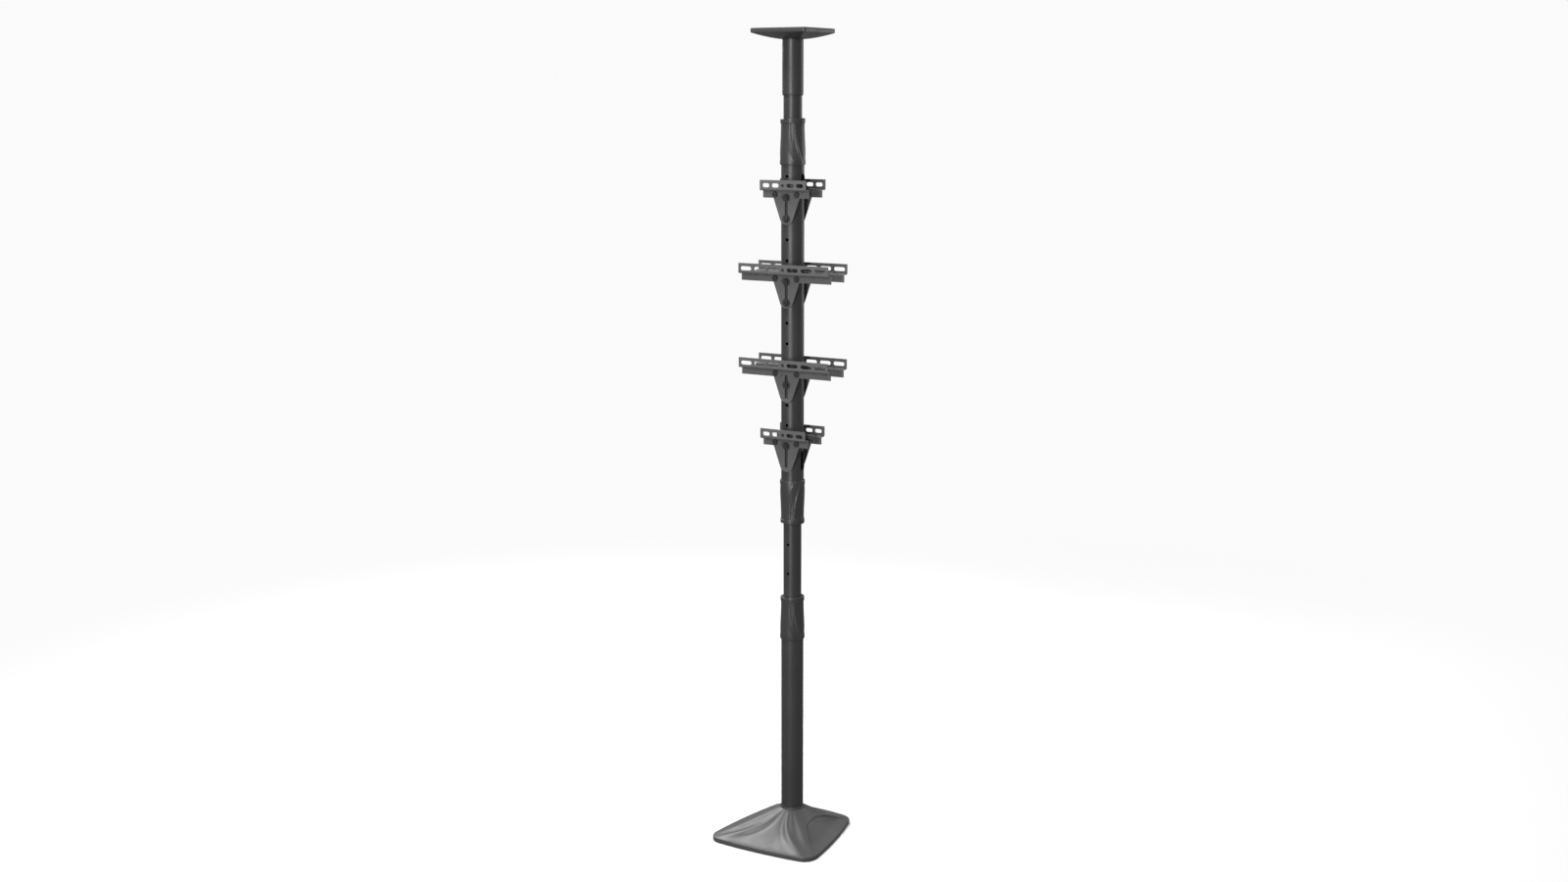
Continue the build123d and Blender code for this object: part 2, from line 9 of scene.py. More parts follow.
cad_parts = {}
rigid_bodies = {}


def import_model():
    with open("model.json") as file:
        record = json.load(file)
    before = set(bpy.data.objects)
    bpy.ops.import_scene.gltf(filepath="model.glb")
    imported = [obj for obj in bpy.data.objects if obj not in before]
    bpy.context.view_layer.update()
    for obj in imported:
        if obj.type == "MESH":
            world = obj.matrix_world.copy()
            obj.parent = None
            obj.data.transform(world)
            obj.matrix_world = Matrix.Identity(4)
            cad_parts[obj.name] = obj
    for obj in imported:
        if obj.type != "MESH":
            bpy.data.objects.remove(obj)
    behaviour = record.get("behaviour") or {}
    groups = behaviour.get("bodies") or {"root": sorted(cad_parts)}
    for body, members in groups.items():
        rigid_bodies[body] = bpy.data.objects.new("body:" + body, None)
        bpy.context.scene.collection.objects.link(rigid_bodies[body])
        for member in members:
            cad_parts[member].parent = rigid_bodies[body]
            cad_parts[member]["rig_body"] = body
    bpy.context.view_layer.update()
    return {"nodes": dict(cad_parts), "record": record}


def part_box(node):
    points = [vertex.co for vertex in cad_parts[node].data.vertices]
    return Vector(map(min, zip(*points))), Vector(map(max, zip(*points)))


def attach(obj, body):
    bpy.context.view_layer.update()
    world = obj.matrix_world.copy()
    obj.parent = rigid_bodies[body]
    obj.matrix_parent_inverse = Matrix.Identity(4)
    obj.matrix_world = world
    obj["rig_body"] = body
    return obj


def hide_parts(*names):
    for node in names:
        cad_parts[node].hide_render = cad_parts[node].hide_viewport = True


# A telescopic floor-to-ceiling post with brackets for chargers, in dark powder-coated steel, with
# moulded collars, a sculpted floor cover and a shallow ceiling cover. Lengths are in metres, except
# where a comment says millimetres. +Z is up and the front is at -Y.

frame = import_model()
nodes = frame["nodes"]

FRONT = -math.pi / 2
MM = 0.001


# ================= Small helpers =================


def smoothstep(low, high, value):
    """0 below low, 1 above high and a smooth rise between them."""
    share = min(max((value - low) / (high - low), 0.0), 1.0)
    return share * share * (3 - 2 * share)


def mix(a, b, share):
    return a + (b - a) * share


def bell(value, middle, width):
    """1 at the middle, and near 0 from about two widths away."""
    return math.exp(-(((value - middle) / width) ** 2))


def rounded_off(share):
    """How far a round edge lies under its full height: 1 at its end, and 0 from a share of 1 on."""
    share = min(max(share, 0.0), 1.0)
    return 1 - math.sqrt(1 - (1 - share) ** 2)


def turn_to(angle):
    """An angle brought into -pi to pi."""
    return (angle + math.pi) % (2 * math.pi) - math.pi


def polar(radius, angle, height):
    return Vector((radius * math.cos(angle), radius * math.sin(angle), height))


def angles_round(count):
    return [2 * math.pi * index / count for index in range(count)]


def curve_through(points, value):
    """The y of a smooth curve through (x, y) points at x = value."""
    if value <= points[0][0]:
        return points[0][1]
    for index in range(len(points) - 1):
        x0, y0 = points[index]
        x1, y1 = points[index + 1]
        if value <= x1:
            before = points[max(index - 1, 0)]
            after = points[min(index + 2, len(points) - 1)]
            slope0 = (y1 - before[1]) / max(x1 - before[0], 1e-9)
            slope1 = (after[1] - y0) / max(after[0] - x0, 1e-9)
            span = x1 - x0
            t = (value - x0) / span
            return (
                y0 * (1 + 2 * t) * (1 - t) ** 2
                + slope0 * span * t * (1 - t) ** 2
                + y1 * t * t * (3 - 2 * t)
                + slope1 * span * t * t * (t - 1)
            )
    return points[-1][1]


def finish_piece(mesh, name, body, replaced, material, crease_deg):
    """Makes an object of a mesh, shades it smooth up to an edge angle and puts it on its body."""
    piece = bpy.data.objects.new(name, mesh)
    bpy.context.scene.collection.objects.link(piece)
    mesh.materials.clear()
    mesh.materials.append(material)
    mesh.polygons.foreach_set("use_smooth", [True] * len(mesh.polygons))
    mesh.set_sharp_from_angle(angle=math.radians(crease_deg))
    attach(piece, body)
    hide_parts(*replaced)


def grid_mesh(name, rings, caps=()):
    """A mesh from closed rings of points, each ring as long as the next, with caps on some rings."""
    build = bmesh.new()
    rows = [[build.verts.new(point) for point in ring] for ring in rings]
    count = len(rows[0])
    for lower, upper in zip(rows, rows[1:]):
        for index in range(count):
            after = (index + 1) % count
            build.faces.new((lower[index], lower[after], upper[after], upper[index]))
    for row in caps:
        build.faces.new(rows[row])
    bmesh.ops.recalc_face_normals(build, faces=build.faces)
    mesh = bpy.data.meshes.new(name)
    build.to_mesh(mesh)
    build.free()
    return mesh


# ================= Materials =================

# Edges are paler over this width, part wear and part painted highlight for the light that rounded
# edges catch. An edge counts as pale from where the cosine between its own and its rounded-over
# normal falls below the higher of the next two cosines, and as fully pale from the lower one down.
PALE_EDGE_WIDTH = 0.6 * MM
PALE_EDGE_FULL = 0.86
PALE_EDGE_NONE = 0.985
PALE_EDGE_SAMPLES = 4

PATCH_SCALE = 9.0
SMEAR_SCALE = 26.0
SMEAR_STRETCH = (1.0, 1.0, 0.35)
GRAIN_STRENGTH = 0.15
COAT_SPECULAR = 0.4

# Dark and light tone, tone of the paler edges (part wear, part painted highlight), least and most
# roughness, and the grain's scale and depth.
COATINGS = {
    "post_steel": (0.027, 0.034, 0.06, 0.34, 0.44, 1500.0, 0.12 * MM),
    "bracket_steel": (0.078, 0.092, 0.15, 0.42, 0.52, 1500.0, 0.12 * MM),
    "plate_steel": (0.030, 0.040, 0.08, 0.45, 0.58, 1200.0, 0.15 * MM),
    "shell_plastic": (0.029, 0.035, 0.22, 0.34, 0.42, 2600.0, 0.08 * MM),
    "cover_plastic": (0.053, 0.062, 0.11, 0.34, 0.44, 2600.0, 0.08 * MM),
    "ceiling_plastic": (0.030, 0.036, 0.08, 0.36, 0.46, 2600.0, 0.08 * MM),
    "bush_plastic": (0.014, 0.020, 0.03, 0.45, 0.60, 1800.0, 0.1 * MM),
    "fastener_steel": (0.018, 0.025, 0.07, 0.38, 0.50, 2200.0, 0.1 * MM),
}

RUBBER_PATCH_SCALE = 30.0
RUBBER_DARK = (0.012, 0.012, 0.012)
RUBBER_LIGHT = (0.028, 0.027, 0.026)
RUBBER_ROUGH = (0.7, 0.92)
RUBBER_GRAIN_SCALE = 900.0
RUBBER_GRAIN_STRENGTH = 0.4
RUBBER_GRAIN_DEPTH = 0.4 * MM

# The colour sockets of a Mix node in its RGBA mode.
MIX_FIRST = 6
MIX_SECOND = 7
MIX_RESULT = 2


def node_material(name):
    material = bpy.data.materials.new(name)
    material.use_nodes = True
    tree = material.node_tree
    shader = tree.nodes["Principled BSDF"]
    coords = tree.nodes.new("ShaderNodeTexCoord")
    return material, tree, shader, coords.outputs["Object"]


def add_noise(tree, coords, scale, detail, stretch=(1, 1, 1)):
    mapping = tree.nodes.new("ShaderNodeMapping")
    mapping.inputs["Scale"].default_value = stretch
    noise = tree.nodes.new("ShaderNodeTexNoise")
    noise.inputs["Scale"].default_value = scale
    noise.inputs["Detail"].default_value = detail
    tree.links.new(coords, mapping.inputs["Vector"])
    tree.links.new(mapping.outputs["Vector"], noise.inputs["Vector"])
    return noise.outputs["Fac"]


def add_ramp(tree, value, stops):
    """Colours at places from 0 to 1, blended between them by the value."""
    ramp = tree.nodes.new("ShaderNodeValToRGB")
    for element, (place, colour) in zip(ramp.color_ramp.elements, stops):
        element.position = place
        element.color = (*colour, 1.0)
    tree.links.new(value, ramp.inputs["Fac"])
    return ramp.outputs["Color"]


def grey_ramp(tree, value, low, high, start=0.3, end=0.7):
    return add_ramp(tree, value, [(start, (low,) * 3), (end, (high,) * 3)])


def blend_colours(tree, factor, first, second):
    """A blend of two colours, each a tuple or a socket."""
    node = tree.nodes.new("ShaderNodeMix")
    node.data_type = "RGBA"
    tree.links.new(factor, node.inputs["Factor"])
    for place, colour in ((MIX_FIRST, first), (MIX_SECOND, second)):
        if isinstance(colour, tuple):
            node.inputs[place].default_value = (*colour, 1.0)
        else:
            tree.links.new(colour, node.inputs[place])
    return node.outputs[MIX_RESULT]


def worn_and_highlit_edges(tree):
    """1 along edges and 0 on flats, from how far a rounded-over normal turns off the surface's own. The
    edges it marks are painted paler, part wear and part painted highlight.
    """
    rounded = tree.nodes.new("ShaderNodeBevel")
    rounded.samples = PALE_EDGE_SAMPLES
    rounded.inputs["Radius"].default_value = PALE_EDGE_WIDTH
    geometry = tree.nodes.new("ShaderNodeNewGeometry")
    likeness = tree.nodes.new("ShaderNodeVectorMath")
    likeness.operation = "DOT_PRODUCT"
    tree.links.new(rounded.outputs["Normal"], likeness.inputs[0])
    tree.links.new(geometry.outputs["Normal"], likeness.inputs[1])
    return grey_ramp(tree, likeness.outputs["Value"], 1.0, 0.0, PALE_EDGE_FULL, PALE_EDGE_NONE)


def add_bump(tree, shader, height, strength, distance):
    bump = tree.nodes.new("ShaderNodeBump")
    bump.inputs["Strength"].default_value = strength
    bump.inputs["Distance"].default_value = distance
    tree.links.new(height, bump.inputs["Height"])
    tree.links.new(bump.outputs["Normal"], shader.inputs["Normal"])


def charcoal(tone):
    """A dark neutral grey with a trace of blue."""
    return (tone, tone * 1.005, tone * 1.02)


def coated_surface(name, dark, light, edge, smooth, rough, grain_scale, grain_depth):
    """A charcoal coated or moulded surface: patchy tone, patchy gloss, fine grain and paler edges, part
    wear and part painted highlight.
    """
    material, tree, shader, coords = node_material(name)
    patches = add_noise(tree, coords, PATCH_SCALE, 5.0)
    tone = add_ramp(tree, patches, [(0.3, charcoal(dark)), (0.72, charcoal(light))])
    # Paler edges: part wear, part painted highlight for the light that the edges catch.
    colour = blend_colours(tree, worn_and_highlit_edges(tree), tone, charcoal(edge))
    tree.links.new(colour, shader.inputs["Base Color"])
    smears = add_noise(tree, coords, SMEAR_SCALE, 6.0, SMEAR_STRETCH)
    tree.links.new(grey_ramp(tree, smears, smooth, rough), shader.inputs["Roughness"])
    grain = add_noise(tree, coords, grain_scale, 2.0)
    add_bump(tree, shader, grain, GRAIN_STRENGTH, grain_depth)
    shader.inputs["Specular IOR Level"].default_value = COAT_SPECULAR
    return material


def rubber_surface():
    material, tree, shader, coords = node_material("pad_rubber")
    patches = add_noise(tree, coords, RUBBER_PATCH_SCALE, 6.0)
    tone = add_ramp(tree, patches, [(0.3, RUBBER_DARK), (0.7, RUBBER_LIGHT)])
    tree.links.new(tone, shader.inputs["Base Color"])
    tree.links.new(grey_ramp(tree, patches, *RUBBER_ROUGH), shader.inputs["Roughness"])
    grain = add_noise(tree, coords, RUBBER_GRAIN_SCALE, 3.0)
    add_bump(tree, shader, grain, RUBBER_GRAIN_STRENGTH, RUBBER_GRAIN_DEPTH)
    return material


materials = {name: coated_surface(name, *values) for name, values in COATINGS.items()}
materials["pad_rubber"] = rubber_surface()

slot_of = {part["node"]: part["material_slot"] for part in frame["record"]["subparts"]}
for node_name, node in nodes.items():
    node.data.materials.clear()
    node.data.materials.append(materials[slot_of[node_name]])


# ================= Floor cover =================

COVER_ANGLES = 480
COVER_RINGS = 130
COVER_WALL = 3.0 * MM
COVER_SKIRT = 12.5 * MM
COVER_FOOT = 1.2 * MM
COVER_FOOT_STEPS = 5
COVER_SHOULDER = 3.0 * MM
COVER_SHOULDER_STEPS = 8
COVER_NECK_LIP = 2.0 * MM
COVER_FLARE = 1.3

# The neck's edge in millimetres: how far outside the neck ring, and how far below the top.
COVER_NECK_EDGE = [(0.9, 0.1), (0.25, 0.8), (0.2, 3.0)]

# The front dips, fully up to the first angle from the front and no more from the second on.
FRONT_DIP = 2.0 * MM
FRONT_DIP_FROM = 8.0
FRONT_DIP_TO = 30.0
SWELL_POWER = 0.8

# Lines that fan out on both sides of the front. Each is a list of places: the share of the way from
# the rim to the neck, and the angle from the front in degrees.
INNER_RIDGE = [(0.0, 36.0), (0.2, 32.0), (0.42, 25.0), (0.7, 18.0), (1.0, 15.0)]
INNER_GROOVE = [(0.0, 26.0), (0.2, 23.0), (0.42, 17.0), (0.7, 10.0), (1.0, 8.0)]
OUTER_GROOVE = [(0.0, 41.0), (0.35, 37.0), (0.63, 35.0), (1.0, 33.0)]
OUTER_RIDGE = [(0.0, 46.0), (0.3, 45.0), (0.58, 45.0), (0.8, 48.0), (1.0, 54.0)]

# Height in millimetres of each line, less than 0 for a groove, and its half width in degrees.
COVER_RELIEF = [
    (3.2, INNER_RIDGE, 5.0),
    (-1.2, INNER_GROOVE, 5.0),
    (-1.9, OUTER_GROOVE, 4.5),
    (1.6, OUTER_RIDGE, 4.5),
]

# The hollow on each side. It reaches up to POCKET_CROWN of the way to the neck, and less at the rear.
POCKET_MIDDLE = math.radians(2)
POCKET_HALF = math.radians(46)
POCKET_DEPTH = 7.5 * MM
POCKET_SLOPE = 0.08
POCKET_RUN_IN = 0.4
POCKET_CROWN = 0.73
POCKET_REAR_LOSS = 0.12
POCKET_SQUARENESS = 6.0
POCKET_ROUNDNESS = 0.4


def outside_rim(node_name, height, count):
    """Radius of a node's outside at a height, at equal angles round the axis."""
    tree = BVHTree.FromObject(nodes[node_name], bpy.context.evaluated_depsgraph_get())
    low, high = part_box(node_name)
    reach = (high - low).length
    radii = []
    for angle in angles_round(count):
        start = polar(reach, angle, height)
        hit = tree.ray_cast(start, polar(-1.0, angle, 0.0))[0]
        radii.append(math.hypot(hit.x, hit.y))
    return radii


def side_angle(angle):
    """Angle from the nearer side's middle: 0 at +X or -X, minus to the front, plus to the rear."""
    folded = turn_to(angle)
    return folded if abs(folded) < math.pi / 2 else turn_to(math.pi - folded)


def pocket_edge(side):
    """Share of the way to the neck that the side hollow reaches, from its angle."""
    across = abs((side - POCKET_MIDDLE) / POCKET_HALF)
    if across >= 1:
        return 0.0
    crown = POCKET_CROWN - POCKET_REAR_LOSS * smoothstep(0.0, POCKET_HALF, side)
    return crown * (1 - across**POCKET_SQUARENESS) ** POCKET_ROUNDNESS


def cover_height(angle, share, rise):
    """Height of the cover over its rim, from the angle round the post and the share of the way in."""
    off_front = math.degrees(abs(turn_to(angle - FRONT)))
    swell = math.sin(math.pi * share) ** SWELL_POWER if share < 1 else 0.0
    height = rise * share**COVER_FLARE
    height -= FRONT_DIP * swell * (1 - smoothstep(FRONT_DIP_FROM, FRONT_DIP_TO, off_front))
    for tall, path, width in COVER_RELIEF:
        height += tall * MM * swell * bell(off_front, curve_through(path, share), width)
    edge = pocket_edge(side_angle(angle))
    if edge > share:
        inside = smoothstep(0.0, POCKET_SLOPE, edge - share)
        height -= POCKET_DEPTH * inside * smoothstep(0.0, POCKET_RUN_IN, share)
    return height


def cover_skirt(around, low_z, rim_z):
    """Rings up the cover's upright skirt, from its inner foot to the end of its rounded shoulder."""
    rings = [[polar(r - COVER_WALL, a, low_z) for r, a in around]]
    for step in range(COVER_FOOT_STEPS + 1):
        bend = math.pi / 2 * step / COVER_FOOT_STEPS
        inset = COVER_FOOT * (1 - math.sin(bend))
        z = low_z + COVER_FOOT * (1 - math.cos(bend))
        rings.append([polar(r - inset, a, z) for r, a in around])
    for step in range(COVER_SHOULDER_STEPS + 1):
        bend = math.pi / 2 * step / COVER_SHOULDER_STEPS
        inset = COVER_SHOULDER * (1 - math.cos(bend))
        z = rim_z - COVER_SHOULDER + COVER_SHOULDER * math.sin(bend)
        rings.append([polar(r - inset, a, z) for r, a in around])
    return rings


def make_floor_cover():
    low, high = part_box("base_cover")
    ring_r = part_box("neck_ring")[1].x
    neck_r = ring_r + COVER_NECK_LIP
    rim_z = low.z + COVER_SKIRT
    rise = high.z - rim_z
    rim = outside_rim("base_cover", low.z + COVER_SKIRT / 2, COVER_ANGLES)
    angles = angles_round(COVER_ANGLES)
    around = list(zip(rim, angles))
    rings = cover_skirt(around, low.z, rim_z)
    for step in range(1, COVER_RINGS + 1):
        share = step / COVER_RINGS
        ring = []
        for r, a in around:
            reach = mix(r - COVER_SHOULDER, neck_r, share)
            ring.append(polar(reach, a, rim_z + cover_height(a, share, rise)))
        rings.append(ring)
    for outside, drop in COVER_NECK_EDGE:
        rings.append([polar(ring_r + outside * MM, a, high.z - drop * MM) for a in angles])
    mesh = grid_mesh("floor_cover", rings)
    material = materials["cover_plastic"]
    finish_piece(mesh, "floor_cover", "base", ["base_cover"], material, 60)


make_floor_cover()


# ================= Ceiling cover =================

CEILING_ANGLES = 320
CEILING_RINGS = 60
CEILING_CORNER = 5.0 * MM
CEILING_RIM = 11.5 * MM
CEILING_WALL = 3.0 * MM
CEILING_FOLD = 1.2 * MM
CEILING_FOLD_STEPS = 6
CEILING_CONVEX = 1.5
CEILING_NECK_GAP = 0.4 * MM
CEILING_NECK_ROUND = 0.96

# The edge against the ceiling in millimetres: how far inside the outline, and how far down.
CEILING_TOP_EDGE = [(3.0, 0.0), (1.0, 0.0), (0.3, 0.1), (0.0, 0.5)]


def square_radius(half, corner_r, angle):
    """Distance from the axis to a square with rounded corners, at an angle."""
    x, y = abs(math.cos(angle)), abs(math.sin(angle))
    if x < y:
        x, y = y, x
    flat = half / x
    if flat * y <= half - corner_r:
        return flat
    c = half - corner_r
    middle = c * (x + y)
    return middle + math.sqrt(max(middle * middle - 2 * c * c + corner_r * corner_r, 0.0))


def square_ring(half, angles, z):
    return [polar(square_radius(half, CEILING_CORNER, a), a, z) for a in angles]


def make_ceiling_cover():
    low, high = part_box("ceiling_cover")
    half = high.x
    rim_z = high.z - CEILING_RIM
    neck_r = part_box("ceiling_tube")[1].x + CEILING_NECK_GAP
    angles = angles_round(CEILING_ANGLES)
    rings = []
    for inset, drop in CEILING_TOP_EDGE:
        rings.append(square_ring(half - inset * MM, angles, high.z - drop * MM))
    for step in range(CEILING_FOLD_STEPS + 1):
        bend = math.pi / 2 * step / CEILING_FOLD_STEPS
        inset = CEILING_FOLD * (1 - math.cos(bend))
        rings.append(square_ring(half - inset, angles, rim_z + CEILING_FOLD * (1 - math.sin(bend))))
    drop = rim_z - low.z
    for step in range(1, CEILING_RINGS + 1):
        share = step / CEILING_RINGS
        z = rim_z - drop * (1 - (1 - share) ** CEILING_CONVEX)
        ring = []
        for a in angles:
            edge = square_radius(half - CEILING_FOLD, CEILING_CORNER, a)
            inner = square_radius(neck_r, neck_r * CEILING_NECK_ROUND, a)
            ring.append(polar(mix(edge, inner, share), a, z))
        rings.append(ring)
    rings.append([polar(neck_r, a, low.z + CEILING_WALL) for a in angles])
    mesh = grid_mesh("ceiling_cover_shell", rings)
    material = materials["ceiling_plastic"]
    finish_piece(mesh, "ceiling_cover_shell", "head", ["ceiling_cover"], material, 50)


make_ceiling_cover()


# ================= Collars =================

# Each collar has two shells. Lengths in this section are in millimetres along a shell from its wide
# end, radii are in millimetres too, and angles are in degrees.
COLLAR_LEN = 118.0
SHELL_SWEEP = 180.0
SHELL_ANGLES = 150
SEAM_GAP = 0.25
SEAM_EDGE_R = 0.6

# The left shell's rim stops this much short of the right one's.
LEFT_RIM_DROP = 2.6

# The seam and the near side of the hollow, from the front towards +X: the angle at the rim, how much
# further round it is at the wide end, and how sharply it turns.
SEAM_PATH = (9.0, 36.0, 3)
HOLLOW_PATH = (43.0, 40.0, 2.2)

COLLAR_PROFILE = [
    (0.0, 32.2),
    (1.2, 32.9),
    (6.0, 33.3),
    (18.0, 33.5),
    (36.0, 32.8),
    (60.0, 31.6),
    (90.0, 30.5),
    (104.5, 30.5),
]
COLLAR_BORE = [
    (0.0, 30.1),
    (50.0, 30.1),
    (50.6, 29.4),
    (54.6, 29.4),
    (55.0, 27.9),
    (111.5, 27.9),
    (112.0, 24.4),
    (117.5, 24.4),
    (118.0, 24.9),
]
COLLAR_MOUTH_R = 24.9

COLLAR_STATIONS = [0.0, 0.4, 1.2, 3.0]
COLLAR_STATIONS += [6.0 + 3.0 * index for index in range(33)]
COLLAR_STATIONS += [103.5, 104.4, 104.9, 105.0, 105.3, 105.7, 106.2, 107.5, 109.0]
COLLAR_STATIONS += [111.0, 114.0, 115.6, 116.2, 116.7, 117.2, 117.6, 117.9, 118.0]

RIM_START = 105.0
RIM_R = 32.0
RIM_LOWER_EDGE = 1.2
RIM_UPPER_EDGE = 2.6
RIM_ROUNDING = 2.2

# The rib beside the hollow. Its reach is in degrees, at the rim and more at the wide end, and its
# place and width are shares of that reach.
RIB_HEIGHT = 2.0
RIB_REACH = 7.0
RIB_WIDENING = 9.0
RIB_PLACE = 0.6
RIB_WIDTH = 0.45

# The shallow valley between the seam and the rib, along the narrow part of the shell.
VALLEY_DEPTH = 0.5
VALLEY_WIDTH = 5.0
VALLEY_FROM = 54.0
VALLEY_FULL = 64.0

# The hollow's slopes: from and to in degrees off its near side, in degrees past the seam at its far
# side, and along the shell at its two ends.
HOLLOW_DEPTH = 1.2
HOLLOW_NEAR = (-2.0, 5.0)
HOLLOW_FAR = (96.0, 106.0)
HOLLOW_WIDE_END = (7.0, 15.0)
HOLLOW_RIM_END = (98.0, 103.5)

# A lip beside the leading seam and a bead beside the trailing one, which run in from the wide end.
SEAM_LIP = 0.2
SEAM_LIP_WIDTH = 12.0
SEAM_BEAD = 0.6
SEAM_BEAD_AT = 177.0
SEAM_BEAD_WIDTH = 5.0
SEAM_RUN_IN = (2.0, 10.0)


def path_angle(path, along):
    """Angle of a path round the collar at a place along it, from the front towards +X."""
    at_rim, further, power = path
    return at_rim + further * (1 - along / COLLAR_LEN) ** power


def rim_radius(along):
    """Outside radius of the rim, with both of its edges rounded."""
    edge = min((along - RIM_START) / RIM_LOWER_EDGE, (COLLAR_LEN - along) / RIM_UPPER_EDGE)
    return RIM_R - RIM_ROUNDING * rounded_off(edge)


def wall_radius(along, past_seam):
    """Outside radius below the rim, at an angle past the shell's leading seam."""
    radius = curve_through(COLLAR_PROFILE, along)
    near = path_angle(HOLLOW_PATH, along) - path_angle(SEAM_PATH, along)
    reach = RIB_REACH + RIB_WIDENING * (1 - along / COLLAR_LEN) ** 2
    radius += RIB_HEIGHT * bell(past_seam, near - reach * RIB_PLACE, reach * RIB_WIDTH)
    valley = bell(past_seam, (near - reach) * 0.5, VALLEY_WIDTH)
    radius -= VALLEY_DEPTH * valley * smoothstep(VALLEY_FROM, VALLEY_FULL, along)
    hollow = smoothstep(near + HOLLOW_NEAR[0], near + HOLLOW_NEAR[1], past_seam)
    hollow *= 1 - smoothstep(*HOLLOW_FAR, past_seam)
    hollow *= smoothstep(*HOLLOW_WIDE_END, along) * (1 - smoothstep(*HOLLOW_RIM_END, along))
    radius -= HOLLOW_DEPTH * hollow
    run_in = smoothstep(*SEAM_RUN_IN, along)
    radius += SEAM_LIP * (1 - smoothstep(0.0, SEAM_LIP_WIDTH, past_seam)) * run_in
    radius += SEAM_BEAD * bell(past_seam, SEAM_BEAD_AT, SEAM_BEAD_WIDTH) * run_in
    return radius


def shell_places():
    """Shares of a shell's sweep, close together at both of its edges."""
    places = [index / SHELL_ANGLES for index in range(SHELL_ANGLES + 1)]
    edges = [0.0, 0.0008, 0.002, 0.004]
    return sorted(set(edges + [1 - e for e in edges] + places[1:-1]))


def make_collar_shell(name, body, wide_z, turn, offset_deg, rim_drop, replaced):
    """One shell of a collar. Its rim is at the top where turn is 1 and at the bottom where it is -1."""
    gap_deg = math.degrees(SEAM_GAP / 2 / RIM_R)
    rings = []
    for place in shell_places():
        past = gap_deg + (SHELL_SWEEP - 2 * gap_deg) * place
        from_edge = min(place, 1 - place) * math.radians(SHELL_SWEEP) * RIM_R
        rounding = SEAM_EDGE_R * rounded_off(from_edge / SEAM_EDGE_R)
        outline = []
        for along in COLLAR_STATIONS:
            radius = rim_radius(along) if along >= RIM_START else wall_radius(along, past)
            outline.append((along, min(along, COLLAR_LEN - rim_drop), radius - rounding))
        for along, radius in reversed(COLLAR_BORE):
            top = COLLAR_LEN - rim_drop - max(COLLAR_MOUTH_R - radius, 0.0)
            outline.append((along, min(along, top), radius))
        ring = []
        for along, height, radius in outline:
            angle = FRONT + math.radians(path_angle(SEAM_PATH, along) + offset_deg + past)
            ring.append(polar(radius * MM, angle, wide_z + turn * height * MM))
        rings.append(ring)
    mesh = grid_mesh(name, rings, caps=(0, -1))
    finish_piece(mesh, name, body, [replaced], materials["shell_plastic"], 40)


def make_collars():
    for collar, body in (("lower_collar", "base"), ("middle_collar", "column"), ("top_collar", "column")):
        low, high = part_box(collar + "_left")
        turn = -1 if collar == "middle_collar" else 1
        wide_z = low.z if turn > 0 else high.z
        for side, offset, rim_drop in (("right", 0.0, 0.0), ("left", SHELL_SWEEP, LEFT_RIM_DROP)):
            name = f"{collar}_shell_{side}"
            make_collar_shell(name, body, wide_z, turn, offset, rim_drop, f"{collar}_{side}")


make_collars()


# ================= Rails, plates and fasteners =================

WELD_DISTANCE = 2e-6
SAME_PLANE = math.radians(0.4)
SHARP = math.radians(30)
BEVEL_RINGS = 2
NO_CREASE_DEG = 180

# Faces at a corner are shaded as one where the cosine between their normals is over this.
SHADED_AS_ONE = 0.7

# Widths in millimetres of the rounded edges, by the ending of a bracket's node name.
BRACKET_EDGES = {"_rail": 0.5, "_plate": 0.5, "_screws": 0.3}
FASTENER_EDGES = {"bracket_bolts": 0.3, "bracket_washers": 0.25, "bracket_nuts": 0.4}


def corner_normal(corner):
    """The shading normal of a face at one corner, where large faces count for more than small ones."""
    normal = Vector((0, 0, 0))
    for face in corner.vert.link_faces:
        if face.normal.dot(corner.face.normal) > SHADED_AS_ONE:
            normal += face.normal * face.calc_area()
    return normal.normalized()


def plain_faces(node_name):
    """A bmesh of a CAD piece in which the triangles of each plane are one face."""
    build = bmesh.new()
    build.from_mesh(nodes[node_name].data)
    bmesh.ops.remove_doubles(build, verts=build.verts, dist=WELD_DISTANCE)
    bmesh.ops.dissolve_limit(
        build,
        angle_limit=SAME_PLANE,
        verts=build.verts,
        edges=build.edges,
        use_dissolve_boundaries=False,
    )
    return build


def soften(node_name, width):
    """Replaces a CAD piece by a copy with its sharp edges rounded over."""
    build = plain_faces(node_name)
    sharp = []
    for edge in build.edges:
        if len(edge.link_faces) == 2 and edge.calc_face_angle(0.0) > SHARP:
            sharp.append(edge)
    bmesh.ops.bevel(
        build,
        geom=sharp,
        offset=width,
        offset_type="OFFSET",
        segments=BEVEL_RINGS,
        profile=0.5,
        affect="EDGES",
        clamp_overlap=True,
    )
    build.normal_update()
    normals = [corner_normal(corner) for face in build.faces for corner in face.loops]
    name = node_name + "_soft"
    mesh = bpy.data.meshes.new(name)
    build.to_mesh(mesh)
    build.free()
    slot = slot_of[node_name]
    body = nodes[node_name]["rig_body"]
    finish_piece(mesh, name, body, [node_name], materials[slot], NO_CREASE_DEG)
    mesh.normals_split_custom_set(normals)


def soften_hardware():
    for node_name in sorted(nodes):
        for ending, width in BRACKET_EDGES.items():
            if node_name.startswith("bracket") and node_name.endswith(ending):
                soften(node_name, width * MM)
    for node_name, width in FASTENER_EDGES.items():
        soften(node_name, width * MM)


soften_hardware()


# ================= Stage, light and camera =================

CAMERA_AZIMUTH = math.radians(30)
CAMERA_PITCH = math.radians(10.5)
CAMERA_DISTANCE = 4.922
CAMERA_LENS = 42.75
CAMERA_SENSOR = 36.0
CAMERA_REACH = 60.0
CAMERA_AIM = Vector((0, 0, 1.086))
CAMERA_ASIDE = 0.0225

